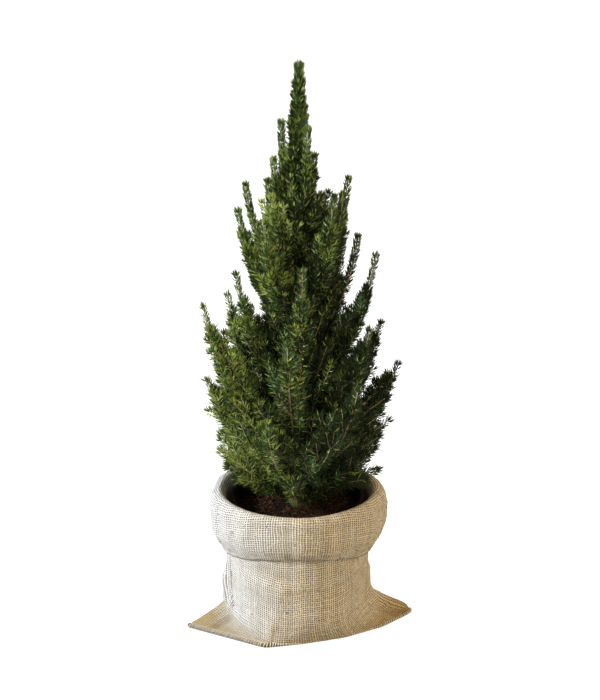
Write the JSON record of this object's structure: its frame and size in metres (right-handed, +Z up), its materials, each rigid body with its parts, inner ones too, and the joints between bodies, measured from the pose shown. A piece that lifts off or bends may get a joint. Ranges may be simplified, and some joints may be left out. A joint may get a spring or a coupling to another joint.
{
  "type": "potted alberta spruce",
  "caption": "Dwarf spruce with upright needled boughs, growing in a nursery pot that stands in a turned-down jute sack.",
  "frame": {"origin": "middle of the sack's flat underside, on the pot's axis", "axes": "+Z up along the trunk, -Y towards the sack's front, +X towards its right ear"},
  "size_m": [0.281, 0.2487, 0.694],
  "materials": {
    "jute": "coarse plain weave, matt",
    "plastic": "dull brown nursery plastic",
    "soil": "damp crumbly potting soil",
    "bark": "rough brown bark",
    "needles": "satin green needles"
  },
  "bodies": {
    "root": {"sack": "jute", "pot": "plastic", "soil": "soil", "trunk": "bark", "bough_skirt_1": "bark", "bough_skirt_2": "bark", "bough_skirt_3": "bark", "bough_skirt_4": "bark", "bough_skirt_5": "bark", "bough_skirt_6": "bark", "bough_skirt_7": "bark", "bough_low_1": "bark", "bough_low_2": "bark", "bough_low_3": "bark", "bough_low_4": "bark", "bough_low_5": "bark", "bough_low_6": "bark", "bough_low_7": "bark", "bough_middle_1": "bark", "bough_middle_2": "bark", "bough_middle_3": "bark", "bough_middle_4": "bark", "bough_middle_5": "bark", "bough_middle_6": "bark", "foliage_skirt_1": "needles", "foliage_skirt_2": "needles", "foliage_skirt_3": "needles", "foliage_skirt_4": "needles", "foliage_skirt_5": "needles", "foliage_skirt_6": "needles", "foliage_skirt_7": "needles", "foliage_low_1": "needles", "foliage_low_2": "needles", "foliage_low_3": "needles", "foliage_low_4": "needles", "foliage_low_5": "needles", "foliage_low_6": "needles", "foliage_low_7": "needles", "foliage_middle_1": "needles", "foliage_middle_2": "needles", "foliage_middle_3": "needles", "foliage_middle_4": "needles", "foliage_middle_5": "needles", "foliage_middle_6": "needles", "foliage_upper_1": "needles", "foliage_upper_2": "needles", "foliage_upper_3": "needles", "foliage_upper_4": "needles", "foliage_upper_5": "needles", "foliage_shoulder_1": "needles", "foliage_shoulder_2": "needles", "foliage_shoulder_3": "needles", "foliage_shoulder_4": "needles", "foliage_shoulder_5": "needles", "foliage_crown_1": "needles", "foliage_crown_2": "needles", "foliage_crown_3": "needles", "foliage_crown_4": "needles", "foliage_leader": "needles"}
  },
  "joints": []
}
